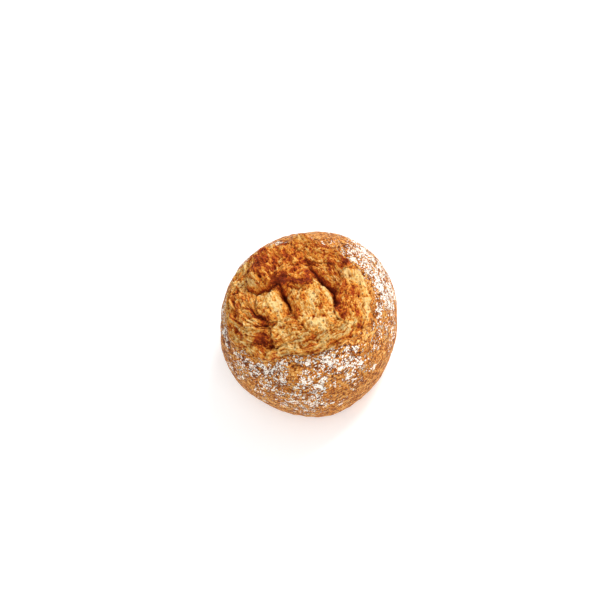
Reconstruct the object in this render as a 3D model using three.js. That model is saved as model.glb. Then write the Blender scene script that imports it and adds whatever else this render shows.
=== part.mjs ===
// A rustic wheat roll, baked with its rough seam side up. Millimetres, +Z up, standing on its flat base.
// The seam has burst into a crown of torn, overlapping folds. The smooth side crust bellies out below it.

import * as THREE from "three";
import { mergeVertices } from "three/addons/utils/BufferGeometryUtils.js";

// Driving dimensions of the baked roll. A fullness of 2 is an ellipsoid, and more is squarer in profile.
const DIAMETER = 95.5;
const BELLY_HEIGHT = 25.5;
const DOME_RISE = 36.5;
const KEEL_DROP = 33.5;
const BODY_FULLNESS = 2.25;
const BASE_EDGE = 3;

// How far the roll seen from above strays from a circle, as shares of its radius. One turn shifts the belly
// to one side and two turns stretch it, towards the given number of degrees from +X. Bulges are local.
const BODY_WAVES = [
  { turns: 1, reach: 0.036, towards: 26 },
  { turns: 2, reach: 0.026, towards: 50 },
];
const BODY_BULGES = [
  { towards: -112, halfWidth: 17, reach: 0.052 },
  { towards: -150, halfWidth: 20, reach: -0.026 },
  { towards: -30, halfWidth: 28, reach: -0.03 },
  { towards: 30, halfWidth: 30, reach: 0.02 },
  { towards: 112, halfWidth: 15, reach: 0.026 },
  { towards: 180, halfWidth: 20, reach: 0.012 },
];

// The crown: its rim seen from above, with its notches, and how far its floor sinks below the dome.
const RIM_RADIUS = 33.8;
const RIM_WAVES = [
  { turns: 1, reach: 1.2, towards: -20 },
  { turns: 2, reach: 2.6, towards: -20 },
];
const RIM_NOTCHES = [
  { towards: -122, halfWidth: 20, reach: -2.4 },
  { towards: 16, halfWidth: 20, reach: -3 },
];
const FLOOR_DEPTH = 3.5;
const FLOOR_FADE = { start: 0, end: 16 };
const FOLD_FADE = { start: -3.5, end: 1.5 };
const TORN_FADE = { start: -3.2, end: 0 };

// How far the folds lean outwards with the dome that they rise from, the width that blends two of them,
// and how full their cross-section is: 2 is a parabola, and more has a flatter crest and steeper sides.
const LIFT_SPLAY = 0.45;
const FOLD_BLEND = 1.2;
const FOLD_FULLNESS = 3;

// The torn folds, seen from above with the roll's front at -Y. Each is a dome on a curved centre line:
// at: its middle; heading: the way its length runs, in degrees from +X; size: its half length and width;
// bend: the radius that its centre line turns with, to the left where positive;
// rise: its crest above the dome; drop: from the crest to its foot; tilt: how much higher its left side is.
const FOLDS = {
  tongue: { at: [7, -10.5], heading: -98, size: [21, 12], bend: -55, rise: 5.6, drop: 5.6, tilt: 1.2 },
  knuckle: { at: [5, 6.5], heading: -22, size: [13.5, 8.5], bend: 50, rise: 7, drop: 6.2, tilt: -0.6 },
  bean: { at: [-11.2, -1.5], heading: 82, size: [12.5, 8], bend: 60, rise: 6, drop: 5.8, tilt: -0.6 },
  shoulder: { at: [-23.2, 5.5], heading: 97, size: [18, 9], bend: -60, rise: 5.6, drop: 5, tilt: 1 },
  leftFlap: { at: [-27, 14.5], heading: 60, size: [32, 7.4], bend: -32, rise: 4.4, drop: 5, tilt: 0.6 },
  backMound: { at: [-3, 22], heading: 95, size: [14, 13.5], bend: 80, rise: 6.6, drop: 5.4, tilt: -0.6 },
  backCrumb: { at: [10.5, 20], heading: 60, size: [13, 11], bend: 60, rise: 5.6, drop: 4.8, tilt: 0.4 },
  outerRidge: { at: [21.5, 17], heading: -58, size: [22, 8], bend: 120, rise: 6.6, drop: 5.4, tilt: -0.4 },
  innerRidge: { at: [20.8, -2], heading: -84, size: [15, 6], bend: -60, rise: 5, drop: 4.6, tilt: -0.8 },
  rightRidge: { at: [24, -15.5], heading: -124, size: [17, 8], bend: 80, rise: 5.4, drop: 5, tilt: -0.4 },
  rightCrumb: { at: [31, -12], heading: -105, size: [20, 8], bend: -34, rise: 3.6, drop: 4.2, tilt: -0.4 },
  frontLip: { at: [3, -28.5], heading: 178, size: [28, 8.4], bend: -32, rise: 3.6, drop: 4.4, tilt: -0.5 },
  frontFill: { at: [-9, -15.5], heading: 155, size: [15, 9], bend: -50, rise: 4.2, drop: 4.4, tilt: 0.3 },
  cornerLip: { at: [-26, -7], heading: 128, size: [12, 5.4], bend: -34, rise: 5.2, drop: 5, tilt: -0.4 },
  cornerFoot: { at: [-25.5, -17.5], heading: 138, size: [12, 4.8], bend: -32, rise: 3.2, drop: 3.4, tilt: 0 },
};

// The deep creases between the folds, placed in the same way. Each narrows and runs out towards its ends.
const CREASES = {
  centre: { at: [-3.9, -0.5], heading: -91, size: [8, 1.7], bend: 60, depth: 6.5 },
  slit: { at: [-6.8, 10.2], heading: -30, size: [7.5, 1.5], bend: -14, depth: 4.5 },
  tongueEdge: { at: [17.5, -9], heading: -88, size: [17, 1.5], bend: -60, depth: 4.8 },
  beanSide: { at: [-18.6, -1], heading: -78, size: [9, 2], bend: 60, depth: 2 },
  beanFoot: { at: [-18, -9.5], heading: -30, size: [6, 1.3], bend: 60, depth: 1.6 },
  hollow: { at: [-22.8, -13.4], heading: 145, size: [7, 2.8], bend: -60, depth: 5 },
  ridgeGap: { at: [28, -3], heading: -15, size: [6, 3], bend: 60, depth: 1.6 },
};
const CREASE_END_WIDTH = 0.35;
const CREASE_SHARPNESS = 1.4;

// Unevenness: the size of each kind of lump, and how far it moves the surface.
const FOLD_WANDER = { size: 9, reach: 2.2 };
const FOLD_RAGGED = { size: 3.2, reach: 0.9 };
const SIDE_LUMPS = { size: 26, reach: 1.1 };
const SIDE_DENTS = { size: 9, reach: 0.3 };
const CRAGS = [
  { size: 5.2, reach: 1 },
  { size: 2.6, reach: 0.6 },
];

// Mesh fineness: how often each edge of an icosahedron is cut, and how far its rings crowd to the crown.
const SPHERE_DETAIL = 21;
const CROWDING = 0.36;
const MERGE_DISTANCE = 1e-5;

const radians = THREE.MathUtils.degToRad;
const clamp01 = (value) => THREE.MathUtils.clamp(value, 0, 1);
const smoothstep = (value) => clamp01(value) ** 2 * (3 - 2 * clamp01(value));
const fade = (value, { start, end }) => smoothstep((value - start) / (end - start));
const mix = (from, to, share) => from + (to - from) * share;

// A repeatable random number from 0 to 1 for each corner of a unit grid.
function cornerValue(i, j, k) {
  const wave = Math.sin(i * 127.1 + j * 311.7 + k * 74.7) * 43758.5453;
  return wave - Math.floor(wave);
}

// Smooth noise from -1 to 1, which blends the values at the corners of the grid cell round a point.
function noise(x, y, z) {
  const [i, j, k] = [Math.floor(x), Math.floor(y), Math.floor(z)];
  const [u, v, w] = [smoothstep(x - i), smoothstep(y - j), smoothstep(z - k)];
  const layer = (level) =>
    mix(
      mix(cornerValue(i, j, level), cornerValue(i + 1, j, level), u),
      mix(cornerValue(i, j + 1, level), cornerValue(i + 1, j + 1, level), u),
      v,
    );
  return 2 * mix(layer(k), layer(k + 1), w) - 1;
}

// The shift takes each use of one kind of lump to another part of the noise.
function lumps(point, { size, reach }, shift) {
  return reach * noise(point.x / size + shift, point.y / size - shift, point.z / size + 2 * shift);
}

function waves(around, list) {
  const share = ({ turns, reach, towards }) => reach * Math.cos(turns * (around - radians(towards)));
  return list.reduce((sum, wave) => sum + share(wave), 0);
}

// Rounded bulges and notches of a closed outline.
function bulges(around, list) {
  const share = ({ towards, halfWidth, reach }) => {
    const turn = around - radians(towards);
    const wrapped = Math.atan2(Math.sin(turn), Math.cos(turn));
    return reach * Math.exp(-((wrapped / radians(halfWidth)) ** 2));
  };
  return list.reduce((sum, bulge) => sum + share(bulge), 0);
}

// The larger of two heights, rounded where they meet within the given width.
function softMax(a, b, width) {
  const near = Math.max(0, width - Math.abs(a - b)) / width;
  return Math.max(a, b) + (near * near * width) / 4;
}

// The risen dough before it bursts: a full round body, as a superellipsoid with a deeper keel than the base.
function body(direction) {
  const around = Math.atan2(direction.y, direction.x);
  const radius = (DIAMETER / 2) * (1 + waves(around, BODY_WAVES) + bulges(around, BODY_BULGES));
  const level = Math.hypot(direction.x, direction.y);
  const depth = direction.z > 0 ? DOME_RISE : KEEL_DROP;
  const inverse = (level / radius) ** BODY_FULLNESS + (Math.abs(direction.z) / depth) ** BODY_FULLNESS;
  const reach = inverse ** (-1 / BODY_FULLNESS);
  return direction.clone().multiplyScalar(reach).add(new THREE.Vector3(0, 0, BELLY_HEIGHT));
}

// Where a point lies along and across the curved centre line of a fold or a crease.
function arcPlace(arc, x, y) {
  const [middleX, middleY] = arc.at;
  const heading = radians(arc.heading);
  const centreX = middleX - Math.sin(heading) * arc.bend;
  const centreY = middleY + Math.cos(heading) * arc.bend;
  const turn = Math.sign(arc.bend);
  const start = Math.atan2((middleY - centreY) * turn, (middleX - centreX) * turn);
  const here = Math.atan2((y - centreY) * turn, (x - centreX) * turn);
  const angle = here - start;
  const wrapped = angle - 2 * Math.PI * Math.round(angle / (2 * Math.PI));
  return { along: wrapped * arc.bend, across: arc.bend - turn * Math.hypot(x - centreX, y - centreY) };
}

// How high one fold stands over the dome.
function foldHeight(fold, x, y) {
  const { along, across } = arcPlace(fold, x, y);
  const [length, width] = fold.size;
  const spread = Math.hypot(along / length, across / width);
  return fold.rise + (fold.tilt * across) / width - fold.drop * spread ** FOLD_FULLNESS;
}

// How deep one crease cuts into the folds.
function creaseDepth(crease, x, y) {
  const { along, across } = arcPlace(crease, x, y);
  const [length, width] = crease.size;
  const taper = clamp01(1 - (along / length) ** 2);
  const narrowed = width * mix(CREASE_END_WIDTH, 1, taper);
  return crease.depth * taper * Math.exp(-(Math.abs(across / narrowed) ** CREASE_SHARPNESS));
}

function rimRadius(around) {
  return RIM_RADIUS + waves(around, RIM_WAVES) + bulges(around, RIM_NOTCHES);
}

// The height of the torn crown over the dome: its floor, the folds that rise out of it, and their creases.
function crownHeight(point) {
  const x = point.x + lumps(point, FOLD_WANDER, 11) + lumps(point, FOLD_RAGGED, 23);
  const y = point.y + lumps(point, FOLD_WANDER, 37) + lumps(point, FOLD_RAGGED, 41);
  const inside = rimRadius(Math.atan2(y, x)) - Math.hypot(x, y);
  const floor = -FLOOR_DEPTH * fade(inside, FLOOR_FADE);
  const heights = Object.values(FOLDS).map((fold) => foldHeight(fold, x, y));
  const folded = heights.reduce((highest, height) => softMax(highest, height, FOLD_BLEND), floor);
  const depths = Object.values(CREASES).map((crease) => creaseDepth(crease, x, y));
  const creased = depths.reduce((height, depth) => height - depth, folded);
  const crags = CRAGS.reduce((sum, crag, index) => sum + lumps(point, crag, 50 + index), 0);
  return creased * fade(inside, FOLD_FADE) + crags * fade(inside, TORN_FADE);
}

// One point of the finished roll, from the direction in which it lies.
function surface(direction) {
  const point = body(direction);
  point.addScaledVector(direction, lumps(point, SIDE_LUMPS, 3) + lumps(point, SIDE_DENTS, 7));
  if (direction.z > 0) {
    const lift = new THREE.Vector3(direction.x * LIFT_SPLAY, direction.y * LIFT_SPLAY, 1).normalize();
    point.addScaledVector(lift, crownHeight(point));
  }
  point.z = point.z > 0 ? Math.hypot(point.z, BASE_EDGE) - BASE_EDGE : 0;
  return point;
}

// Moves a direction towards the top, so that the crown gets more of the faces.
function crowd(direction) {
  const fromTop = Math.acos(THREE.MathUtils.clamp(direction.z, -1, 1));
  const crowded = fromTop - CROWDING * Math.sin(fromTop);
  const around = Math.atan2(direction.y, direction.x);
  const level = Math.sin(crowded);
  return new THREE.Vector3(level * Math.cos(around), level * Math.sin(around), Math.cos(crowded));
}

function rollGeometry() {
  const sphere = new THREE.IcosahedronGeometry(1, SPHERE_DETAIL);
  sphere.deleteAttribute("normal");
  sphere.deleteAttribute("uv");
  const geometry = mergeVertices(sphere, MERGE_DISTANCE);
  const places = geometry.attributes.position;
  const direction = new THREE.Vector3();
  for (let index = 0; index < places.count; index++) {
    direction.fromBufferAttribute(places, index).normalize();
    const point = surface(crowd(direction));
    places.setXYZ(index, point.x, point.y, point.z);
  }
  geometry.computeBoundingBox();
  const middle = geometry.boundingBox.getCenter(new THREE.Vector3());
  geometry.translate(-middle.x, -middle.y, 0);
  geometry.computeVertexNormals();
  return geometry;
}

function breadRoll() {
  const crust = new THREE.MeshStandardMaterial({ color: 0xc98a4b, roughness: 0.75, metalness: 0 });
  const bread = new THREE.Mesh(rollGeometry(), crust);
  bread.name = "bread_roll";
  return bread;
}

const roll = new THREE.Group();
roll.add(breadRoll());

export default roll;
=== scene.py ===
"""A rustic wheat roll: torn, overlapping folds crown a full-bellied crust that is dusted with flour."""
import math
import random

import bmesh
import bpy
import numpy as np
from mathutils import Matrix, Vector, kdtree
from mathutils.bvhtree import BVHTree


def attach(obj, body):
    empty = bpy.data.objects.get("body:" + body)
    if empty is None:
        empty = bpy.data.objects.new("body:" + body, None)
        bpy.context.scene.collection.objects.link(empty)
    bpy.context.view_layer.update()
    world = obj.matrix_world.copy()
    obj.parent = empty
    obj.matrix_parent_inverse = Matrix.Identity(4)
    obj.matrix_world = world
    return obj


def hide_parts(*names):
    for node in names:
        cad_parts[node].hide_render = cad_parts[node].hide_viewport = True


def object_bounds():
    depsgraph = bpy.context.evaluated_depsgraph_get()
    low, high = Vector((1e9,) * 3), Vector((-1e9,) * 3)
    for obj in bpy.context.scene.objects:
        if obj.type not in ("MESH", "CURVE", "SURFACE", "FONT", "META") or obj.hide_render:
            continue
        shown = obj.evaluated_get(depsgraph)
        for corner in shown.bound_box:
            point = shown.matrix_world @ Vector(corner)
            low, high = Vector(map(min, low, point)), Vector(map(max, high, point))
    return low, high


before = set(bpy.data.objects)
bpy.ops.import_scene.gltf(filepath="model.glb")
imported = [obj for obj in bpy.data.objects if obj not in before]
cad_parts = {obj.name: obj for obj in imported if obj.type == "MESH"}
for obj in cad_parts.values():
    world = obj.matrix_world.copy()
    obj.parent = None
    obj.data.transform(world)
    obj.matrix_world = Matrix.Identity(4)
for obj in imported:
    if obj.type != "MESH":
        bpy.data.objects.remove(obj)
solid_low, solid_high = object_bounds()

MM = 0.001

# The baked roll in millimetres, in the terms of its solid. A fullness of 2 is an ellipsoid, and more is
# squarer. A wave has its number of turns, its reach and its heading in degrees. A bulge has its heading,
# half its width in degrees and its reach. The body's reaches are shares of its radius.
DIAMETER = 95.5
BELLY_HEIGHT = 25.5
DOME_RISE = 36.5
KEEL_DROP = 33.5
BODY_FULLNESS = 2.25
BASE_EDGE = 3
BODY_WAVES = [(1, 0.036, 26), (2, 0.026, 50)]
BODY_BULGES = [
    (-112, 17, 0.052),
    (-150, 20, -0.026),
    (-30, 28, -0.03),
    (30, 30, 0.02),
    (112, 15, 0.026),
    (180, 20, 0.012),
]

# The crown's rim seen from above, its notches, its floor below the dome, and how the folds rise out of it.
RIM_RADIUS = 33.8
RIM_WAVES = [(1, 1.2, -20), (2, 2.6, -20)]
RIM_NOTCHES = [(-122, 20, -2.4), (16, 20, -3)]
FLOOR_DEPTH = 3.5
FLOOR_FADE = (0, 16)
FOLD_FADE = (-3.5, 1.5)
TORN_FADE = (-3.2, 0)
LIFT_SPLAY = 0.45
FOLD_BLEND = 1.2
FOLD_FULLNESS = 3

# Each fold is a dome on a curved centre line: its middle, the heading of its length, its half sizes, the
# radius that it bends with, its crest's rise over the dome, the drop to its foot, and how much its left side
# is raised. Streaks is how strongly the torn crumb runs along it, and bake how dark it is toasted, from 0 to
# 1. Each fold lies over the ones before it. Edge is how much its torn edge stands out from them.
FOLDS = {
    "right_crumb": dict(
        at=(31, -12), heading=-105, size=(20, 8), bend=-34,
        rise=3.6, drop=4.2, tilt=-0.4, streaks=0.4, bake=0.24,
    ),
    "corner_foot": dict(
        at=(-25.5, -17.5), heading=138, size=(12, 4.8), bend=-32,
        rise=3.2, drop=3.4, tilt=0, streaks=0.6, bake=0.28,
    ),
    "back_crumb": dict(
        at=(10.5, 20), heading=60, size=(13, 11), bend=60,
        rise=5.6, drop=4.8, tilt=0.4, streaks=0.3, bake=0.5,
    ),
    "front_fill": dict(
        at=(-9, -15.5), heading=155, size=(15, 9), bend=-50,
        rise=4.2, drop=4.4, tilt=0.3, streaks=0.7, bake=0.22,
    ),
    "front_lip": dict(
        at=(3, -28.5), heading=178, size=(28, 8.4), bend=-32,
        rise=3.6, drop=4.4, tilt=-0.5, streaks=0.9, bake=0.2,
    ),
    "bean": dict(
        at=(-11.2, -1.5), heading=82, size=(12.5, 8), bend=60,
        rise=6, drop=5.8, tilt=-0.6, streaks=0.2, bake=0.25, edge=0.3,
    ),
    "inner_ridge": dict(
        at=(20.8, -2), heading=-84, size=(15, 6), bend=-60,
        rise=5, drop=4.6, tilt=-0.8, streaks=0.9, bake=0.5,
    ),
    "tongue": dict(
        at=(7, -10.5), heading=-98, size=(21, 12), bend=-55,
        rise=5.6, drop=5.6, tilt=1.2, streaks=0.3, bake=0.28, edge=0.2,
    ),
    "back_mound": dict(
        at=(-3, 22), heading=95, size=(14, 13.5), bend=80,
        rise=6.6, drop=5.4, tilt=-0.6, streaks=0.5, bake=0.56,
    ),
    "left_flap": dict(
        at=(-27, 14.5), heading=60, size=(32, 7.4), bend=-32,
        rise=4.4, drop=5, tilt=0.6, streaks=1, bake=0.32,
    ),
    "right_ridge": dict(
        at=(24, -15.5), heading=-124, size=(17, 8), bend=80,
        rise=5.4, drop=5, tilt=-0.4, streaks=0.5, bake=0.5, edge=0.3,
    ),
    "shoulder": dict(
        at=(-23.2, 5.5), heading=97, size=(18, 9), bend=-60,
        rise=5.6, drop=5, tilt=1, streaks=0.8, bake=0.36,
    ),
    "corner_lip": dict(
        at=(-26, -7), heading=128, size=(12, 5.4), bend=-34,
        rise=5.2, drop=5, tilt=-0.4, streaks=0.8, bake=0.32,
    ),
    "outer_ridge": dict(
        at=(21.5, 17), heading=-58, size=(22, 8), bend=120,
        rise=6.6, drop=5.4, tilt=-0.4, streaks=0.8, bake=0.48,
    ),
    "knuckle": dict(
        at=(5, 6.5), heading=-22, size=(13.5, 8.5), bend=50,
        rise=7, drop=6.2, tilt=-0.6, streaks=0.4, bake=0.6, edge=0.35,
    ),
}

# A fold's torn edge rises over the folds below it, and they dip beside it. On a fold that is baked less than
# the pale bake its edge is paler still, and otherwise it is toasted darker. Where the folds below dip beside
# the edge, they are painted darker as painted shade.
EDGE_USUAL = 0.45
EDGE_RISE = 0.9
EDGE_DIP = 0.5
EDGE_WIDTH = 0.8
EDGE_BAKE_AND_SHADE = 0.22
PALE_BAKE = 0.42

# How sharply one fold's finish gives way to the next, within which heights, and how far apart the folds lie
# in the noise of their streaks and in their runs.
SHARE_SHARPNESS = 2
SHARE_HEIGHTS = (-30, 30)
STREAK_SHIFT = 7.0
RUN_SHIFT = 50.0

# The creases between the folds, the deep ones first and then the hairlines of the torn skin.
CREASES = {
    "centre": dict(at=(-3.9, -0.5), heading=-91, size=(8, 1.4), bend=60, depth=6.5),
    "slit": dict(at=(-6.8, 10.2), heading=-30, size=(7.5, 1), bend=-14, depth=4.5),
    "tongue_edge": dict(at=(17.5, -9), heading=-88, size=(17, 1.5), bend=-60, depth=4.8),
    "bean_side": dict(at=(-18.6, -1), heading=-78, size=(9, 2), bend=60, depth=2),
    "bean_foot": dict(at=(-18, -9.5), heading=-30, size=(6, 1.3), bend=60, depth=1.6),
    "hollow": dict(at=(-22.8, -13.4), heading=145, size=(7, 2.8), bend=-60, depth=5),
    "ridge_gap": dict(at=(28, -3), heading=-15, size=(6, 3), bend=60, depth=1.6),
    "knuckle_line": dict(at=(8.8, 2.8), heading=-14, size=(5.5, 0.8), bend=60, depth=1.6),
    "back_line": dict(at=(9.5, 17.5), heading=12, size=(6, 0.9), bend=60, depth=1.6),
    "lip_line": dict(at=(19, -30), heading=28, size=(8, 0.8), bend=40, depth=1.2),
    "flap_line": dict(at=(-25, 12), heading=62, size=(16, 0.9), bend=-27, depth=1.6),
    "layer_gap": dict(at=(-24, -2.5), heading=-70, size=(8, 0.6), bend=80, depth=1),
    "layer_line": dict(at=(-27.4, 1), heading=-76, size=(8, 0.5), bend=80, depth=0.8),
}
CREASE_END_WIDTH = 0.35
CREASE_SHARPNESS = 1.4
# The creases are painted darker by their depth, partly as toasting and partly as painted shade.
CREASE_BAKE_AND_SHADE = 0.085

# Thin pale lips of torn crumb, which stand proud: as the creases, with a rise instead of a depth.
LIPS = {
    "tongue_lip": dict(at=(15.4, -9.5), heading=-84, size=(15, 0.9), bend=-50, rise=0.8),
    "left_layer": dict(at=(-25.7, -1.5), heading=-71, size=(9, 0.7), bend=80, rise=0.6),
    "next_layer": dict(at=(-22.4, -3), heading=-68, size=(7, 0.6), bend=80, rise=0.5),
    "rim_lip": dict(at=(18, -28.4), heading=26, size=(10, 0.7), bend=40, rise=0.4),
}
LIP_BAKE = -0.4

# Round knobs of crust on the crown, and pores, which sink: middle, radius, rise and how much darker. On the
# knobs the darkening is toasting, and in the pores it is painted shade.
KNOBS = {
    "rim_crumb": ((5, 30.6), 1.7, 4.2, 0.15),
    "burnt_tip": ((31.8, 2), 2.6, 1.6, 0.75),
    "red_bead": ((22.9, -23.4), 1.5, 1.2, 0.35),
    "lip_bead": ((23.7, -27), 1.2, 1, 0.35),
    "tongue_bead": ((8.2, -12), 1.2, 0.7, 0.3),
    "foot_bead": ((11.7, -24.2), 1.1, 0.7, 0.35),
    "wide_pore": ((4.3, -17.4), 0.9, -1.8, 0.7),
    "round_pore": ((8.7, -19.3), 0.75, -1.6, 0.7),
    "slit_pore": ((-6.5, -20.5), 0.7, -1.2, 0.5),
    "back_pore": ((-8.5, 16.5), 0.8, -1.4, 0.5),
}

# Patches that the oven left paler (below 0) or browner than the rest of their fold: middle, radius, change.
TOASTING = {
    "knuckle_top": ((2, 7.5), 6, 0.18),
    "knuckle_red": ((-1, 7.5), 3.5, 0.14),
    "tongue_crumb": ((7, -18.5), 6.5, -0.26),
    "tongue_brow": ((12.5, -0.5), 5, 0.14),
    "tongue_flank": ((2.2, -6), 4.5, 0.2),
    "tongue_foot": ((1.6, -18.5), 2.6, -0.25),
    "tongue_pale": ((10.5, -7), 4.5, -0.16),
    "tongue_red": ((12, -15), 3, 0.16),
    "groove_wall": ((14.2, -12.5), 3.6, 0.3),
    "bean_side": ((-16.5, -5), 4.5, 0.42),
    "bean_face": ((-8.5, -1.5), 5, -0.26),
    "fill_front": ((-3.5, -13), 4.5, 0.2),
    "fill_red": ((-19.5, -19), 4, 0.2),
    "fill_pale": ((-10, -15.6), 3.2, -0.22),
    "fill_patch": ((-3, -19), 3.2, 0.16),
    "lip_red": ((-4.5, -28.5), 4, 0.2),
    "lip_red_right": ((8.6, -30), 4, 0.24),
    "back_brow": ((-3, 25), 5, 0.22),
    "back_pale": ((-13, 18), 3.8, -0.34),
    "back_red": ((-5, 20.5), 4.5, 0.14),
    "rim_pale": ((6, 30), 4, -0.12),
    "middle_pale": ((4, 13.2), 3.8, -0.26),
    "left_red": ((-25, 5), 4, 0.14),
    "flap_top": ((-22, 15), 5, 0.15),
    "corner_brow": ((-27.5, -9), 4, 0.16),
    "right_pale": ((31.5, -7), 4.5, -0.3),
    "right_pale_foot": ((29.5, -20.5), 4.5, -0.14),
    "right_red": ((25, -13), 5, 0.2),
    "ridge_crest": ((24, 12), 8, 0.1),
    "gap_pale": ((27.5, -3), 5, -0.3),
}

# Where the crust tore on below the rim at the back: middle and radius of each patch, the heights between
# which they begin, the lumps of that height and of the patches' edge, and how near a patch its edge lies.
BURSTS = [((-17, 31), 6.5), ((-9, 33.5), 6), ((-1, 34.5), 5), ((-24, 22), 4.5)]
BURST_HEIGHTS = (44, 52)
BURST_WANDER = (3, 4)
BURST_RAGGED = (4, 0.5)
BURST_EDGE = (0.24, 0.64)

# Unevenness, each as the size of a lump and how far it moves the surface.
FOLD_WANDER = (9, 2.2)
FOLD_RAGGED = (3.2, 0.9)
SIDE_LUMPS = (26, 1.1)
SIDE_DENTS = (9, 0.3)
SIDE_BLISTERS = (2.4, 0.28)
CRAGS = [(5.2, 1.1), (2.6, 0.8)]
WEBS = [(3.8, 0.7), (2, 0.75), (1.05, 0.6)]

# The streaks of torn crumb along a fold, and the rings of stretched crust round the rim.
STREAK_LENGTH = 11
STREAK_GAP = 0.9
STREAK_RISE = 1
RING_GAP = 1.1
RING_RISE = 0.3
RING_FADE = (-11, -3)
RIDGE_TOP = 0.6

# The mesh: an icosphere whose rings crowd towards the crown, cut once more above this height of the sphere.
SPHERE_LEVELS = 7
CROWDING = 0.36
CROWN_CUT = 0.45

# The fine and the coarse relief are what these many rounds of blurring take away. The finest crests are
# painted paler and the fine pits darker, as painted light and shade, and the hollows darker, as painted
# shade. The streaks and some lumps add to the bake.
FINE_BLUR = 24
COARSE_BLUR = 160
FINE_PAINTED_LIGHT = -0.12
HOLLOW_PAINTED_SHADE = 0.12
STREAK_BAKE = 0.16
EVEN_BAKE = -0.06
BAKE_LUMPS = (4.5, 0.2)

# The flour thins out from the upper of these heights to the lower one, and on the rings. Its drifts say
# where round the side it lies thicker or thinner: towards which degree, half how wide, how much.
FLOUR_USUAL = 0.495
FLOUR_HEIGHTS = (42, 2)
FLOUR_THINNED = 0.3
FLOUR_OFF_RINGS = 0.12
FLOUR_LUMPS = [(11, 0.12), (5, 0.08)]
FLOUR_DRIFTS = [
    (-160, 28, -0.09),
    (-112, 30, 0.03),
    (-58, 32, -0.11),
    (5, 22, 0.05),
    (58, 38, -0.15),
    (118, 16, -0.13),
    (164, 15, -0.13),
]
BARE_PATCH = dict(middle=(-16.6, -33), radius=3.2)
BARE_REACH = 0.45

# The flour's proud grains: how many clusters, how wide each spreads, how many grains it has and how flat it
# lies, the grains' half sizes and shapes, and how far they keep from the torn crumb and from the base.
CLUSTER_COUNT = 450
CLUSTER_SPREADS = (0.5, 2)
CLUSTER_GRAINS = (3, 14)
CLUSTER_FLATNESS = 0.5
GRAIN_SIZES = (0.22, 0.6)
GRAIN_WIDTHS = (0.5, 1)
GRAIN_TURNS = (0, 3)
GRAIN_FLATNESS = 0.4
GRAIN_CLEARANCE = 0.8
GRAIN_FLOOR = 3
LEAST_FLOUR = 0.25
TORN_LIMIT = 0.02
GRAIN_SEED = 5

# How the finish stretches noise: its scale along each axis of the roll, or along and across the folds. A
# lump of the unscaled size leaves places as they are, once they are scaled.
SIDE_SCALE = (1, 1, 1.6)
ROW_SCALE = (0.3, 0.3, 1.3)
ROW_TURN = (0.16, 0.1, 0)
STRAND_SCALE = (1 / 6, 1 / 0.75, 1)
STREAK_SCALE = (1 / 7, 1 / 2.4, 1)
FLAKE_SCALE = (1 / 4.5, 1 / 1.8, 1)
UNSCALED = 1 / MM

# The photograph's framing, with the picture 600 pixels wide. The roll's axis leans to the left in it.
PICTURE_WIDTH = 600
ROLL_PIXELS = 185
ROLL_ACROSS = 96 * MM
ROLL_CENTRE = (309, 325.6)
VIEW_ELEVATION = 61
VIEW_LEAN = 30
VIEW_DISTANCE = 0.9
VIEW_AIM = Vector((-1.0, -0.5, 22.7)) * MM
SENSOR_WIDTH = 36
NEAR_CLIP = 0.01

# The studio in metres and watts.
KEY_LIGHT = dict(place=(0.75, 0.3, 0.75), size=0.45, power=9.5)
FILL_LIGHT = dict(place=(0, -1, 1.1), size=1.2, power=8.5)
ROOM_LIGHT = 0.72
FLOOR_REACH = 2
FLOOR_GLOW = 0.2


def smoothstep(value):
    clamped = np.clip(value, 0, 1)
    return clamped * clamped * (3 - 2 * clamped)


def fade(value, span):
    start, end = span
    return smoothstep((value - start) / (end - start))


def mix(start, end, share):
    return start + (end - start) * share


def corner_value(i, j, k):
    """A repeatable random number from 0 to 1 for each corner of a unit grid."""
    wave = np.sin(i * 127.1 + j * 311.7 + k * 74.7) * 43758.5453
    return wave - np.floor(wave)


def noise(points):
    """Smooth noise from -1 to 1, which blends the values at the corners of each point's grid cell."""
    cells = np.floor(points)
    i, j, k = cells.T
    u, v, w = smoothstep(points - cells).T

    def layer(level):
        near = mix(corner_value(i, j, level), corner_value(i + 1, j, level), u)
        far = mix(corner_value(i, j + 1, level), corner_value(i + 1, j + 1, level), u)
        return mix(near, far, v)

    return 2 * mix(layer(k), layer(k + 1), w) - 1


def lumps(points, kind, shift):
    """The shift takes each use of one kind of lump to another part of the noise."""
    size, reach = kind
    return reach * noise(points / size + np.array([shift, -shift, 2 * shift]))


def webs(points, kind, shift):
    """Thin walls round small pits, as in torn crumb."""
    size, reach = kind
    return reach * (0.5 - 2 * np.abs(lumps(points, (size, 1), shift)))


def ridges(points):
    """Sharp crests with soft furrows between them."""
    return RIDGE_TOP - 2 * np.abs(noise(points))


def waves(around, kinds):
    return sum(reach * np.cos(turns * (around - math.radians(towards))) for turns, reach, towards in kinds)


def bulges(around, kinds):
    """Rounded bulges and notches of a closed outline."""
    total = 0
    for towards, half_width, reach in kinds:
        turn = around - math.radians(towards)
        wrapped = np.arctan2(np.sin(turn), np.cos(turn))
        total = total + reach * np.exp(-((wrapped / math.radians(half_width)) ** 2))
    return total


def soft_max(a, b, width):
    """The larger of two heights, rounded where they meet within the given width."""
    near = np.maximum(0, width - np.abs(a - b)) / width
    return np.maximum(a, b) + near * near * width / 4


def patch(x, y, middle, radius):
    """A soft round patch, 1 at its middle."""
    spread = np.hypot(x - middle[0], y - middle[1]) / radius
    return np.exp(-(spread**2))


def body(directions):
    """The risen dough before it bursts: a superellipsoid whose keel is cut off by the base."""
    x, y, z = directions.T
    around = np.arctan2(y, x)
    radius = DIAMETER / 2 * (1 + waves(around, BODY_WAVES) + bulges(around, BODY_BULGES))
    depth = np.where(z > 0, DOME_RISE, KEEL_DROP)
    inverse = (np.hypot(x, y) / radius) ** BODY_FULLNESS + (np.abs(z) / depth) ** BODY_FULLNESS
    reach = inverse ** (-1 / BODY_FULLNESS)
    return directions * reach[:, None] + np.array([0, 0, BELLY_HEIGHT])


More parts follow.
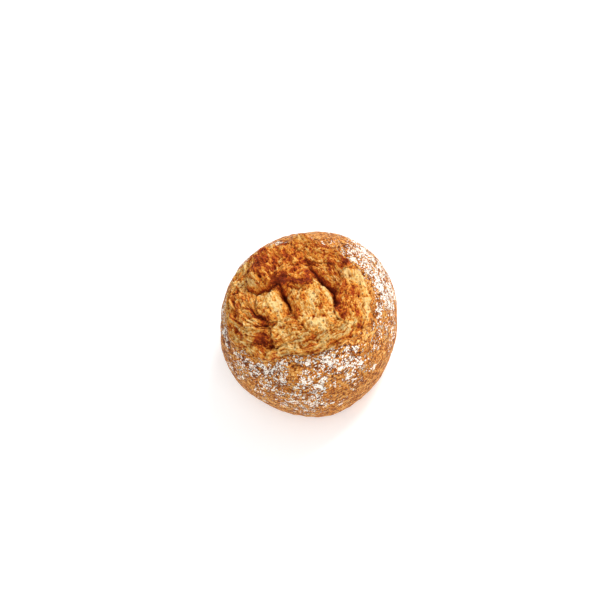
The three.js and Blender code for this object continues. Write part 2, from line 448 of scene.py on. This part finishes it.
def arc_place(arc, x, y):
    """Where points lie along and across the curved centre line of a fold or a crease."""
    middle_x, middle_y = arc["at"]
    heading = math.radians(arc["heading"])
    bend = arc["bend"]
    centre_x = middle_x - math.sin(heading) * bend
    centre_y = middle_y + math.cos(heading) * bend
    turn = math.copysign(1, bend)
    start = math.atan2((middle_y - centre_y) * turn, (middle_x - centre_x) * turn)
    angle = np.arctan2((y - centre_y) * turn, (x - centre_x) * turn) - start
    wrapped = angle - 2 * math.pi * np.round(angle / (2 * math.pi))
    return wrapped * bend, bend - turn * np.hypot(x - centre_x, y - centre_y)


def fold_height(fold, along, across):
    length, width = fold["size"]
    spread = np.hypot(along / length, across / width)
    return fold["rise"] + fold["tilt"] * across / width - fold["drop"] * spread**FOLD_FULLNESS


def fold_values(name, usual=None):
    return np.array([fold.get(name, usual) for fold in FOLDS.values()])


def stacked_folds(x, y, height):
    """The folds laid over each other on the crown's floor, and the values of their finish: bake, streak, how
    fibrous the crumb is, and the run along and across the top fold."""
    own_heights = []
    streaks = []
    runs = []
    for number, fold in enumerate(FOLDS.values()):
        along, across = arc_place(fold, x, y)
        own = fold_height(fold, along, across)
        height = soft_max(height, own, FOLD_BLEND)
        shift = np.full(len(x), STREAK_SHIFT * number)
        own_heights.append(own)
        streaks.append(ridges(np.stack([along / STREAK_LENGTH, across / STREAK_GAP, shift], axis=1)))
        runs.append(np.stack([along, across, np.full(len(x), RUN_SHIFT * number)], axis=1))
    own_heights = np.array(own_heights)
    second, first = np.argsort(own_heights, axis=0)[-2:]
    every = np.arange(len(x))
    gap = own_heights[first, every] - own_heights[second, every]
    edge = fold_values("edge", EDGE_USUAL)[np.maximum(first, second)] * np.exp(-gap / EDGE_WIDTH)
    height = height + edge * np.where(first > second, EDGE_RISE, -EDGE_DIP)
    shares = np.exp(SHARE_SHARPNESS * np.clip(own_heights, *SHARE_HEIGHTS))
    shares = shares / shares.sum(axis=0)
    bake = fold_values("bake") @ shares
    # Painted shade beside an edge, where the fold below dips. The edge itself is toasted darker or left
    # paler.
    bake = bake + edge * np.where((first > second) & (bake < PALE_BAKE), -EDGE_BAKE_AND_SHADE, EDGE_BAKE_AND_SHADE)
    streak = np.sum(shares * fold_values("streaks")[:, None] * np.array(streaks), axis=0)
    fibre = fold_values("streaks") @ shares
    return height, dict(bake=bake, streak=streak, fibre=fibre, run=np.array(runs)[first, every])


def crease_share(crease, x, y):
    """How near to the middle of a crease or a lip, from 0 to 1."""
    along, across = arc_place(crease, x, y)
    length, width = crease["size"]
    taper = np.clip(1 - (along / length) ** 2, 0, 1)
    narrowed = width * mix(CREASE_END_WIDTH, 1, taper)
    return taper * np.exp(-(np.abs(across / narrowed) ** CREASE_SHARPNESS))


def creased(x, y, height, bake):
    """Height and bake with the creases sunk into the folds and the lips raised on them. The creases' darker
    bake is partly toasting and partly painted shade.
    """
    hollow = sum(crease["depth"] * crease_share(crease, x, y) for crease in CREASES.values())
    height = height - hollow
    bake = bake + CREASE_BAKE_AND_SHADE * hollow
    for lip in LIPS.values():
        share = crease_share(lip, x, y)
        height = height + lip["rise"] * share
        bake = bake + LIP_BAKE * share
    return height, bake


def dotted(x, y, height, bake):
    """Height and bake with the knobs, the pores, whose darkening is painted shade, and the toasted patches.
    """
    for middle, radius, rise, darker in KNOBS.values():
        knob = patch(x, y, middle, radius)
        height = height + rise * knob
        bake = bake + darker * knob
    for middle, radius, change in TOASTING.values():
        bake = bake + change * patch(x, y, middle, radius)
    return height, bake


def burst_share(points, x, y):
    """Where the crust tore on below the rim, from 0 to 1."""
    bursts = sum(patch(x, y, middle, radius) for middle, radius in BURSTS)
    bursts = bursts * fade(points[:, 2] + lumps(points, BURST_WANDER, 92), BURST_HEIGHTS)
    return fade(bursts + lumps(points, BURST_RAGGED, 91), BURST_EDGE)


def rim_radius(around):
    return RIM_RADIUS + waves(around, RIM_WAVES) + bulges(around, RIM_NOTCHES)


def crown(points):
    """The torn crown's height over the dome, and the values of its finish."""
    x = points[:, 0] + lumps(points, FOLD_WANDER, 11) + lumps(points, FOLD_RAGGED, 23)
    y = points[:, 1] + lumps(points, FOLD_WANDER, 37) + lumps(points, FOLD_RAGGED, 41)
    around = np.arctan2(y, x)
    inside = rim_radius(around) - np.hypot(x, y)
    height, finish = stacked_folds(x, y, -FLOOR_DEPTH * fade(inside, FLOOR_FADE))
    height, bake = creased(x, y, height, finish["bake"])
    height, finish["bake"] = dotted(points[:, 0], points[:, 1], height, bake)
    torn = np.maximum(fade(inside, TORN_FADE), burst_share(points, x, y))
    rings = np.stack([around * RIM_RADIUS / STREAK_LENGTH, inside / RING_GAP, np.zeros(len(x))], axis=1)
    ring = ridges(rings) * fade(inside, RING_FADE) * (1 - torn)
    crags = sum(lumps(points, crag, 50 + index) for index, crag in enumerate(CRAGS))
    crumb = sum(webs(points, web, 60 + index) for index, web in enumerate(WEBS))
    relief = height * fade(inside, FOLD_FADE) + RING_RISE * ring
    relief = relief + torn * (crags + crumb + STREAK_RISE * finish["streak"])
    return relief, dict(finish, torn=torn, ring=ring)


def surface(directions):
    """The roll's points in millimetres, each in its direction, and the values of its finish."""
    points = body(directions)
    side = lumps(points, SIDE_LUMPS, 3) + lumps(points, SIDE_DENTS, 7)
    points = points + directions * side[:, None]
    relief, finish = crown(points)
    above = directions[:, 2] > 0
    relief = np.where(above, relief, 0)
    finish["torn"] = np.where(above, finish["torn"], 0)
    finish["ring"] = np.where(above, finish["ring"], 0)
    blisters = lumps(points, SIDE_BLISTERS, 17) * (1 - finish["torn"])
    points = points + directions * blisters[:, None]
    lift = directions * np.array([LIFT_SPLAY, LIFT_SPLAY, 0]) + np.array([0, 0, 1])
    lift /= np.linalg.norm(lift, axis=1)[:, None]
    points = points + lift * relief[:, None]
    rounded = np.hypot(np.maximum(points[:, 2], 0), BASE_EDGE) - BASE_EDGE
    points[:, 2] = np.where(points[:, 2] > 0, rounded, 0)
    finish["relief"] = relief
    return points, finish


def crowd(directions):
    """Moves directions towards the top, so that the crown gets more of the faces."""
    x, y, z = directions.T
    from_top = np.arccos(np.clip(z, -1, 1))
    crowded = from_top - CROWDING * np.sin(from_top)
    around = np.arctan2(y, x)
    out = np.sin(crowded)
    return np.stack([out * np.cos(around), out * np.sin(around), np.cos(crowded)], axis=1)


def blurred(values, edges, rounds):
    """The values after each point has been mixed with its neighbours, as many times as rounds says."""
    first, second = edges.T
    count = len(values)
    neighbours = np.bincount(first, minlength=count) + np.bincount(second, minlength=count)
    for _ in range(rounds):
        sums = np.bincount(first, values[second], count) + np.bincount(second, values[first], count)
        values = mix(values, sums / neighbours, 0.5)
    return values


def baked(points, finish, fine, coarse):
    """How dark each point is toasted, from 0 to 1, with painted light on the finest crests and painted shade
    in the fine pits and the hollows.
    """
    bake = finish["bake"] + EVEN_BAKE + FINE_PAINTED_LIGHT * fine + HOLLOW_PAINTED_SHADE * np.maximum(0, -coarse)
    bake = bake + lumps(points, BAKE_LUMPS, 81) + STREAK_BAKE * finish["streak"]
    return np.clip(bake, 0, 1)


def flour_density(points, finish):
    """How much flour lies on the crust, from 0 to 1."""
    x, y, z = points.T
    total = FLOUR_USUAL + bulges(np.arctan2(y, x), FLOUR_DRIFTS) - FLOUR_THINNED * fade(z, FLOUR_HEIGHTS)
    total = total + sum(lumps(points, kind, 71 + 2 * index) for index, kind in enumerate(FLOUR_LUMPS))
    bare = BARE_REACH * patch(x, y, **BARE_PATCH) * (z > BELLY_HEIGHT)
    return np.clip(total - FLOUR_OFF_RINGS * finish["ring"] - bare, 0, 1)


def unit_points(vertices):
    points = np.array([vertex.co[:] for vertex in vertices])
    return points / np.linalg.norm(points, axis=1)[:, None]


def move_points(shaped, places):
    for vertex, place in zip(shaped.verts, places):
        vertex.co = place


def dough_ball():
    """A closed ball of small triangles, which are finest on the crown."""
    shaped = bmesh.new()
    bmesh.ops.create_icosphere(shaped, subdivisions=SPHERE_LEVELS, radius=1)
    move_points(shaped, crowd(unit_points(shaped.verts)))
    crown_edges = [edge for edge in shaped.edges if min(corner.co.z for corner in edge.verts) > CROWN_CUT]
    bmesh.ops.subdivide_edges(shaped, edges=crown_edges, cuts=1, use_grid_fill=True)
    bmesh.ops.triangulate(shaped, faces=shaped.faces)
    return shaped


def on_the_solid(points):
    """The points, in millimetres, moved to stand where the solid stands."""
    middle = (points.min(0) + points.max(0)) / 2
    solid_middle = (solid_low + solid_high) / 2 / MM
    return points + np.array([solid_middle.x - middle[0], solid_middle.y - middle[1], solid_low.z / MM])


def edge_pairs(mesh):
    edges = np.zeros(len(mesh.edges) * 2, dtype=int)
    mesh.edges.foreach_get("vertices", edges)
    return edges.reshape(-1, 2)


def set_values(mesh, name, values, kind="FLOAT", field="value"):
    attribute = mesh.attributes.new(name, kind, "POINT")
    attribute.data.foreach_set(field, values.astype(np.float32).ravel())


def get_values(mesh, name):
    values = np.zeros(len(mesh.vertices), dtype=np.float32)
    mesh.attributes[name].data.foreach_get("value", values)
    return values


def roll_mesh():
    """The whole roll, with the values that its finish follows."""
    shaped = dough_ball()
    points, finish = surface(unit_points(shaped.verts))
    move_points(shaped, on_the_solid(points) * MM)
    mesh = bpy.data.meshes.new("bread_roll_crust")
    shaped.to_mesh(mesh)
    shaped.free()
    mesh.shade_smooth()
    edges = edge_pairs(mesh)
    fine = finish["relief"] - blurred(finish["relief"], edges, FINE_BLUR)
    coarse = finish["relief"] - blurred(finish["relief"], edges, COARSE_BLUR)
    set_values(mesh, "torn", finish["torn"])
    set_values(mesh, "bake", baked(points, finish, fine, coarse))
    set_values(mesh, "proud", fine)
    set_values(mesh, "fibre", finish["fibre"])
    set_values(mesh, "run", finish["run"], "FLOAT_VECTOR", "vector")
    set_values(mesh, "ring", finish["ring"])
    set_values(mesh, "flour", flour_density(points, finish))
    return mesh


def new_piece(name, mesh, finish):
    piece = bpy.data.objects.new(name, mesh)
    bpy.context.scene.collection.objects.link(piece)
    mesh.materials.append(finish)
    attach(piece, "root")
    return piece


def srgb(red, green, blue):
    """A colour as the eye reads it, from 0 to 255, as the linear one that shaders take."""
    linear = []
    for value in (red, green, blue):
        share = value / 255
        linear.append(share / 12.92 if share <= 0.04045 else ((share + 0.055) / 1.055) ** 2.4)
    return (*linear, 1)


def grey(share):
    return (share, share, share, 1)


class Finish:
    """One material and its nodes. Each input is a number, a colour or another node's output."""

    def __init__(self, name):
        self.material = bpy.data.materials.new(name)
        self.material.use_nodes = True
        self.nodes = self.material.node_tree.nodes
        self.links = self.material.node_tree.links
        self.shader = self.nodes["Principled BSDF"]
        self.place = self.nodes.new("ShaderNodeTexCoord").outputs["Object"]

    def put(self, socket, value):
        if isinstance(value, bpy.types.NodeSocket):
            self.links.new(value, socket)
        else:
            socket.default_value = value

    def shade(self, **values):
        """Sets the shader's own sockets, each named with _ for its spaces."""
        for name, value in values.items():
            self.put(self.shader.inputs[name.replace("_", " ")], value)

    def node(self, kind, inputs, **settings):
        made = self.nodes.new(kind)
        for name, value in settings.items():
            setattr(made, name, value)
        for name, value in inputs.items():
            self.put(made.inputs[name], value)
        return made

    def value(self, name, output="Fac"):
        return self.node("ShaderNodeAttribute", {}, attribute_name=name).outputs[output]

    def scaled(self, place, scale, turn=(0, 0, 0)):
        return self.node("ShaderNodeMapping", {"Vector": place, "Scale": scale, "Rotation": turn}).outputs[0]

    def mottle(self, size, detail=4, roughness=0.6, distortion=0, place=None):
        """Noise from 0 to 1 whose lumps are about the given size in millimetres."""
        inputs = {
            "Vector": place or self.place,
            "Scale": 1 / (size * MM),
            "Detail": detail,
            "Roughness": roughness,
            "Distortion": distortion,
        }
        return self.node("ShaderNodeTexNoise", inputs).outputs[0]

    def uneven(self, size, **settings):
        """As mottle, but from -0.5 to 0.5."""
        return self.sum(self.mottle(size, **settings), -0.5)

    def cells(self, size, feature="F1", place=None):
        inputs = {"Vector": place or self.place, "Scale": 1 / (size * MM)}
        return self.node("ShaderNodeTexVoronoi", inputs, feature=feature)

    def cell_number(self, cells):
        """A random number from 0 to 1 for each of the cells."""
        return self.node("ShaderNodeSeparateColor", {"Color": cells.outputs["Color"]}).outputs[0]

    def shaken(self, place, size, reach):
        """Moves the places unevenly, in their own scale, so that the cells made from them are ragged."""
        inputs = {"Vector": place, "Scale": 1 / size, "Detail": 3}
        shake = self.node("ShaderNodeTexNoise", inputs).outputs["Color"]
        inputs = {0: shake, 1: (0.5, 0.5, 0.5)}
        centred = self.node("ShaderNodeVectorMath", inputs, operation="SUBTRACT").outputs[0]
        inputs = {0: centred, 1: (reach, reach, 0), 2: place}
        return self.node("ShaderNodeVectorMath", inputs, operation="MULTIPLY_ADD").outputs[0]

    def sum(self, a, b):
        return self.node("ShaderNodeMath", {0: a, 1: b}, operation="ADD").outputs[0]

    def product(self, a, b):
        return self.node("ShaderNodeMath", {0: a, 1: b}, operation="MULTIPLY").outputs[0]

    def total(self, first, *parts):
        """The first value and the parts, each of which is a value and how much of it is added."""
        for value, share in parts:
            first = self.sum(first, self.product(value, share))
        return first

    def span(self, value, start, end, low=0, high=1, smooth=True):
        """Maps start to end onto low to high, and holds it there beyond."""
        inputs = {"Value": value, "From Min": start, "From Max": end, "To Min": low, "To Max": high}
        kind = "SMOOTHSTEP" if smooth else "LINEAR"
        return self.node("ShaderNodeMapRange", inputs, interpolation_type=kind).outputs["Result"]

    def blend(self, share, a, b, kind="MIX"):
        """Mixes two colours. The node has more sockets of the same names, so they go by number."""
        made = self.node("ShaderNodeMix", {}, data_type="RGBA", blend_type=kind)
        for index, value in ((0, share), (6, a), (7, b)):
            self.put(made.inputs[index], value)
        return made.outputs[2]

    def ramp(self, value, stops):
        made = self.node("ShaderNodeValToRGB", {"Fac": value})
        elements = made.color_ramp.elements
        for place, colour in stops[1:-1]:
            elements.new(place).color = colour
        elements[0].position, elements[0].color = stops[0]
        elements[-1].position, elements[-1].color = stops[-1]
        return made.outputs["Color"]

    def bump(self, height):
        """The height is in millimetres."""
        return self.node("ShaderNodeBump", {"Height": height, "Strength": 1, "Distance": MM}).outputs[0]


# Toasted crumb, from the palest torn inside to the burnt crest of a ridge.
CRUMB_TONES = [
    (0.0, srgb(253, 218, 148)),
    (0.18, srgb(250, 193, 99)),
    (0.36, srgb(241, 159, 56)),
    (0.52, srgb(221, 124, 32)),
    (0.67, srgb(194, 84, 18)),
    (0.84, srgb(166, 62, 12)),
    (1.0, srgb(122, 42, 8)),
]
# The smooth crust of the sides, from its darker scales to its paler stretch marks.
CRUST_TONES = [
    (0.32, srgb(92, 38, 6)),
    (0.42, srgb(180, 94, 22)),
    (0.54, srgb(230, 142, 46)),
    (0.68, srgb(255, 208, 126)),
]
# Painted shade: how much darker the pits between the crumb's webs are painted than the webs.
PAINTED_PIT_SHADES = [(0.0, (0.8, 0.66, 0.5, 1)), (0.5, (0.98, 0.95, 0.92, 1)), (1.0, (1, 1, 1, 1))]
FLOUR_WHITE = srgb(252, 246, 236)
FLOUR_STRAW = srgb(240, 200, 142)
FLOUR_TONES = [(0.3, srgb(232, 216, 196)), (0.6, FLOUR_WHITE)]
CRACK_BROWN = srgb(100, 44, 8)
PORE_SHADE_BROWN = srgb(96, 44, 12)
PIT_SHADE_BROWN = srgb(104, 46, 10)
BRAN_RED = srgb(164, 60, 12)
FLOOR_TONES = [(0, grey(0.9)), (1, grey(0.93))]
CRUST_ROUGHNESS = 0.62
FLOUR_ROUGHNESS = 0.95
FLOOR_ROUGHNESS = 0.8
GLOSS = 0.2

# How much each unevenness of the crumb adds to its bake, and how far it raises it in millimetres. The
# mottling counts for more where the crumb is toasted. The higher flakes are painted paler, as painted light,
# and the gaps round them darker, as painted shade.
MOTTLING_BAKE = (0.95, 1.9)
MOTTLING_BAKES = (0.1, 0.5)
CRUMB_BAKE = dict(flecks=1.3, strands=2, streaks=1.3, flakes=-0.2, gaps=0.26)
CRUMB_RELIEF = dict(grit=1.1, strands=2.4, flakes=0.5, gaps=-0.4, pores=-0.5)
PIT_REACH = 0.8
BRAN = dict(size=2.2, radius=0.7, share=0.4)
BRAN_STRENGTH = 0.7
PORES = dict(size=2.1, radius=0.5, share=0.4)
PORE_STRENGTH = 0.8
PORE_BAKES = (0.7, 0.4)

# The same for the tone of the crust, its relief and the level of the flour on it. Flour hides the crust
# above its levels, a thin film of it lies below them, and the crust is cracked and darker below that.
TONE_SPREAD = (-0.35, 1.33)
CRUST_TONE = dict(rings=0.14, rows=0.8)
CRUST_RELIEF = dict(pits=1.1, rows=1.3, flour=0.3)
# The crust is painted darker brown in its pits below these levels of their noise, up to this strength, as
# painted shade.
PIT_LEVELS = (0.47, 0.36)
PIT_SHADE_STRENGTH = 0.6
FLOUR_LEVEL = dict(grain=1.7, rows=0.95, drift=0.4)
CRACK_CELLS = 1.5
CRACK_WIDTHS = (0.02, 0.16)
CRACK_DEPTH = -0.22
FLOUR_LEVELS = (0.57, 0.61)
FILM_LEVELS = (0.53, 0.57)
FILM_STRENGTH = 0.8
CRACK_LEVELS = (0.4, 0.5)
CRACK_STRENGTH = 0.92
FLOUR_OFF_CRUMB = (0.2, 0.5)
TORN_LEVELS = (0.4, 0.6)
TORN_RAGGED = 0.9
GRAIN_RELIEF = 0.08


def spots(finish, size, radius, share):
    """Scattered round spots, 1 inside: of cells of one size, a share has a spot of the given radius."""
    cells = finish.cells(size)
    near = finish.span(cells.outputs["Distance"], radius / size, 0.6 * radius / size)
    return finish.product(near, finish.span(finish.cell_number(cells), share, share - 0.01))


def flakes(finish, run):
    """Torn flakes along the folds: how high each lies, from 0 to 1, and the thin gap round it, 1 inside."""
    place = finish.shaken(finish.scaled(run, FLAKE_SCALE), size=0.8, reach=1.3)
    height = finish.cell_number(finish.cells(UNSCALED, place=place))
    border = finish.cells(UNSCALED, "DISTANCE_TO_EDGE", place).outputs["Distance"]
    shown = finish.span(finish.mottle(3, detail=2), 0.42, 0.56)
    return height, finish.product(finish.span(border, 0, 0.09, 1, 0), shown)


def torn_crumb(finish):
    """Colour and relief of the torn folds."""
    run = finish.value("run", "Vector")
    mottling = finish.uneven(2.8, detail=7, roughness=0.72)
    flecks = finish.uneven(0.75, roughness=0.72)
    place = finish.scaled(run, STREAK_SCALE)
    streaks = finish.uneven(UNSCALED, detail=3, roughness=0.6, distortion=0.6, place=place)
    place = finish.scaled(run, STRAND_SCALE)
    strands = finish.uneven(UNSCALED, detail=3, roughness=0.65, distortion=0.5, place=place)
    strands = finish.product(strands, finish.value("fibre"))
    flake, gap = flakes(finish, run)
    # The bake holds the toasting, and also painted light on the crests and painted shade in the pits,
    # hollows, creases and pores.
    bake = finish.value("bake")
    mottled = finish.span(bake, *MOTTLING_BAKES, *MOTTLING_BAKE)
    bake = finish.total(
        bake,
        (mottling, mottled),
        (flecks, CRUMB_BAKE["flecks"]),
        (strands, CRUMB_BAKE["strands"]),
        (streaks, CRUMB_BAKE["streaks"]),
        # Painted light on the higher flakes, and painted shade in the gaps round them.
        (finish.sum(flake, -0.5), CRUMB_BAKE["flakes"]),
        (gap, CRUMB_BAKE["gaps"]),
    )
    colour = finish.ramp(bake, CRUMB_TONES)
    # Painted shade: the crumb is painted darker where its fine relief sinks.
    painted_pit_shade = finish.ramp(finish.span(finish.value("proud"), -PIT_REACH, PIT_REACH), PAINTED_PIT_SHADES)
    colour = finish.blend(1, colour, painted_pit_shade, "MULTIPLY")
    bran = spots(finish, **BRAN)
    colour = finish.blend(finish.product(bran, BRAN_STRENGTH), colour, BRAN_RED)
    # Painted shade: the pores are painted dark brown in the paler crumb, where they sink.
    pores = finish.product(spots(finish, **PORES), finish.span(bake, *PORE_BAKES))
    colour = finish.blend(finish.product(pores, PORE_STRENGTH), colour, PORE_SHADE_BROWN)
    relief = finish.total(
        0,
        (finish.mottle(0.9, detail=5, roughness=0.7), CRUMB_RELIEF["grit"]),
        (strands, CRUMB_RELIEF["strands"]),
        (flake, CRUMB_RELIEF["flakes"]),
        (gap, CRUMB_RELIEF["gaps"]),
        (pores, CRUMB_RELIEF["pores"]),
    )
    return colour, relief


def side_rows(finish):
    """Fine uneven ridges that run round the side of the roll, as baked dough stretches: from 0 to 1."""
    place = finish.scaled(finish.place, ROW_SCALE, ROW_TURN)
    return finish.mottle(1.15, detail=3, roughness=0.6, distortion=0.9, place=place)


def side_crust(finish, rows):
    """Colour and relief of the smooth crust that the flour lies on."""
    place = finish.scaled(finish.place, SIDE_SCALE)
    tone = finish.mottle(1.8, detail=7, roughness=0.78, distortion=0.6, place=place)
    tone = finish.span(tone, 0, 1, *TONE_SPREAD, smooth=False)
    tone = finish.total(
        tone, (finish.value("ring"), CRUST_TONE["rings"]), (finish.sum(rows, -0.5), CRUST_TONE["rows"])
    )
    colour = finish.ramp(tone, CRUST_TONES)
    pits = finish.mottle(0.9, detail=5, roughness=0.7)
    # Painted shade: the crust is painted darker brown where its pits sink.
    colour = finish.blend(finish.span(pits, *PIT_LEVELS, 0, PIT_SHADE_STRENGTH), colour, PIT_SHADE_BROWN)
    return colour, finish.total(0, (pits, CRUST_RELIEF["pits"]), (rows, CRUST_RELIEF["rows"]))


def flour_dusting(finish, rows, edge):
    """Where flour hides the crust in broken patches, where a film edges them, and where cracks darken it."""
    place = finish.scaled(finish.place, SIDE_SCALE)
    grain = finish.uneven(1.9, detail=5, roughness=0.66, distortion=0.4, place=place)
    drift = finish.uneven(5, detail=2, roughness=0.5)
    border = finish.cells(CRACK_CELLS, "DISTANCE_TO_EDGE").outputs["Distance"]
    level = finish.total(
        finish.sum(finish.value("flour"), finish.span(border, *CRACK_WIDTHS, CRACK_DEPTH, 0)),
        (grain, FLOUR_LEVEL["grain"]),
        (finish.sum(rows, -0.5), FLOUR_LEVEL["rows"]),
        (drift, FLOUR_LEVEL["drift"]),
    )
    off_the_crumb = finish.span(edge, *FLOUR_OFF_CRUMB, 1, 0)
    patches = finish.span(level, *FLOUR_LEVELS)
    film = finish.product(finish.span(level, *FILM_LEVELS), FILM_STRENGTH)
    cracks = finish.product(finish.span(level, *CRACK_LEVELS), CRACK_STRENGTH)
    return [finish.product(share, off_the_crumb) for share in (patches, film, cracks)]


def crust_finish():
    finish = Finish("baked_crust")
    crumb_colour, crumb_relief = torn_crumb(finish)
    rows = side_rows(finish)
    side_colour, side_relief = side_crust(finish, rows)
    edge = finish.total(finish.value("torn"), (finish.uneven(2.2), TORN_RAGGED))
    torn = finish.span(edge, *TORN_LEVELS)
    flour, film, cracks = flour_dusting(finish, rows, edge)
    colour = finish.blend(torn, side_colour, crumb_colour)
    colour = finish.blend(cracks, colour, CRACK_BROWN)
    colour = finish.blend(film, colour, FLOUR_STRAW)
    colour = finish.blend(flour, colour, FLOUR_WHITE)
    whole = finish.span(torn, 0, 1, 1, 0)
    relief = finish.total(0, (crumb_relief, torn), (side_relief, whole), (flour, CRUST_RELIEF["flour"]))
    roughness = finish.span(flour, 0, 1, CRUST_ROUGHNESS, FLOUR_ROUGHNESS)
    bump = finish.bump(relief)
    finish.shade(Base_Color=colour, Roughness=roughness, Specular_IOR_Level=GLOSS, Normal=bump)
    return finish.material


def grain_finish():
    finish = Finish("flour_grains")
    colour = finish.ramp(finish.mottle(0.6, detail=3), FLOUR_TONES)
    bump = finish.bump(finish.product(finish.mottle(0.25, detail=3), GRAIN_RELIEF))
    finish.shade(Base_Color=colour, Roughness=FLOUR_ROUGHNESS, Specular_IOR_Level=GLOSS, Normal=bump)
    return finish.material


def floor_finish():
    finish = Finish("pale_floor")
    colour = finish.ramp(finish.mottle(40, detail=3), FLOOR_TONES)
    finish.shade(Base_Color=colour, Roughness=FLOOR_ROUGHNESS)
    finish.shade(Emission_Color=grey(1), Emission_Strength=FLOOR_GLOW)
    return finish.material


def bread_roll():
    piece = new_piece("bread_roll_crust", roll_mesh(), crust_finish())
    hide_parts("bread_roll")
    return piece


def cluster_middles(mesh, chance):
    """Random points of the crust, drawn by how much flour and room there is round each."""
    corners = np.zeros(len(mesh.loops), dtype=int)
    areas = np.zeros(len(mesh.polygons))
    mesh.loops.foreach_get("vertex_index", corners)
    mesh.polygons.foreach_get("area", areas)
    room = np.bincount(corners, np.repeat(areas, 3), len(mesh.vertices))
    flour = np.clip(get_values(mesh, "flour") - LEAST_FLOUR, 0, 1) ** 2
    wanted = room * np.where(get_values(mesh, "torn") < TORN_LIMIT, flour, 0)
    return chance.choices(range(len(wanted)), weights=wanted.tolist(), k=CLUSTER_COUNT)


def torn_points(mesh):
    torn = np.flatnonzero(get_values(mesh, "torn") >= TORN_LIMIT)
    found = kdtree.KDTree(len(torn))
    for index in torn:
        found.insert(mesh.vertices[int(index)].co, int(index))
    found.balance()
    return found


def grain_places(bread, chance):
    """Where each grain lies on the crust, and which way is up from it there."""
    mesh = bread.data
    ground = BVHTree.FromObject(bread, bpy.context.evaluated_depsgraph_get())
    torn = torn_points(mesh)
    places = []
    for index in cluster_middles(mesh, chance):
        spread = chance.uniform(*CLUSTER_SPREADS) * MM
        for _ in range(chance.randint(*CLUSTER_GRAINS)):
            drift = Vector((chance.gauss(0, 1), chance.gauss(0, 1), chance.gauss(0, CLUSTER_FLATNESS)))
            spot, upright, _, _ = ground.find_nearest(mesh.vertices[index].co + drift * spread)
            off_the_crumb = torn.find(spot)[2] > GRAIN_CLEARANCE * MM
            if off_the_crumb and spot.z > solid_low.z + GRAIN_FLOOR * MM:
                places.append((spot, upright))
    return places


def repeated_grain(count):
    """One mesh that holds a round grain as many times as the count says, and the points of one grain."""
    shaped = bmesh.new()
    bmesh.ops.create_icosphere(shaped, subdivisions=1, radius=1)
    mesh = bpy.data.meshes.new("flour_grain")
    shaped.to_mesh(mesh)
    shaped.free()
    row = bpy.data.objects.new("flour_grain", mesh)
    bpy.context.scene.collection.objects.link(row)
    copies = row.modifiers.new("copies", "ARRAY")
    copies.use_relative_offset = False
    copies.count = count
    grains = bpy.data.meshes.new_from_object(row.evaluated_get(bpy.context.evaluated_depsgraph_get()))
    bpy.data.objects.remove(row)
    return grains, np.array([vertex.co[:] + (1,) for vertex in mesh.vertices])


def grain_transform(spot, upright, chance):
    long_side = chance.uniform(*GRAIN_SIZES) * MM
    wide_side = long_side * chance.uniform(*GRAIN_WIDTHS)
    standing = upright.to_track_quat("Z", "Y").to_matrix().to_4x4()
    turned = standing @ Matrix.Rotation(chance.uniform(*GRAIN_TURNS), 4, "Z")
    size = Matrix.Diagonal((long_side, wide_side, wide_side * GRAIN_FLATNESS, 1))
    return np.array(Matrix.Translation(spot) @ turned @ size)


def flour_grains(bread):
    """Small clumps of flour that stand proud of the dusting, in clusters, most where it is thickest."""
    chance = random.Random(GRAIN_SEED)
    places = grain_places(bread, chance)
    grains, shape = repeated_grain(len(places))
    moved = [shape @ grain_transform(spot, upright, chance).T for spot, upright in places]
    grains.vertices.foreach_set("co", np.concatenate(moved)[:, :3].ravel())
    grains.update()
    grains.name = "flour_grains"
    grains.shade_smooth()
    piece = new_piece("flour_grains", grains, grain_finish())
    return piece


def floor():
    shaped = bmesh.new()
    bmesh.ops.create_grid(shaped, x_segments=1, y_segments=1, size=FLOOR_REACH)
    mesh = bpy.data.meshes.new("floor")
    shaped.to_mesh(mesh)
    shaped.free()
    mesh.materials.append(floor_finish())
    piece = bpy.data.objects.new("floor", mesh)
    bpy.context.scene.collection.objects.link(piece)


def soft_light(name, place, size, power):
    light = bpy.data.lights.new(name, "AREA")
    light.size = size
    light.energy = power
    thing = bpy.data.objects.new(name, light)
    bpy.context.scene.collection.objects.link(thing)
    thing.location = place
    thing.rotation_mode = "QUATERNION"
    thing.rotation_quaternion = (VIEW_AIM - thing.location).to_track_quat("-Z", "Y")


def studio():
    soft_light("key_light", **KEY_LIGHT)
    soft_light("fill_light", **FILL_LIGHT)
    world = bpy.data.worlds.new("studio")
    world.use_nodes = True
    background = world.node_tree.nodes["Background"]
    background.inputs["Color"].default_value = grey(1)
    background.inputs["Strength"].default_value = ROOM_LIGHT
    bpy.context.scene.world = world
    bpy.context.scene.view_settings.view_transform = "Standard"


def camera():
    """Looks down on the crown from the photograph's side, turned so that the roll's axis leans left."""
    lens = bpy.data.cameras.new("camera")
    thing = bpy.data.objects.new("camera", lens)
    bpy.context.scene.collection.objects.link(thing)
    elevation = math.radians(VIEW_ELEVATION)
    back = Vector((0, -math.cos(elevation), math.sin(elevation)))
    thing.location = VIEW_AIM + back * VIEW_DISTANCE
    level = (-back).to_track_quat("-Z", "Y")
    thing.rotation_mode = "QUATERNION"
    thing.rotation_quaternion = level @ Matrix.Rotation(math.radians(-VIEW_LEAN), 3, "Z").to_quaternion()
    view_width = PICTURE_WIDTH * ROLL_ACROSS / ROLL_PIXELS
    lens.sensor_width = SENSOR_WIDTH
    lens.lens = SENSOR_WIDTH * VIEW_DISTANCE / view_width
    lens.shift_x = (PICTURE_WIDTH / 2 - ROLL_CENTRE[0]) / PICTURE_WIDTH
    lens.shift_y = (ROLL_CENTRE[1] - PICTURE_WIDTH / 2) / PICTURE_WIDTH
    lens.clip_start = NEAR_CLIP
    bpy.context.scene.camera = thing


camera()
studio()
floor()
bread = bread_roll()
flour_grains(bread)
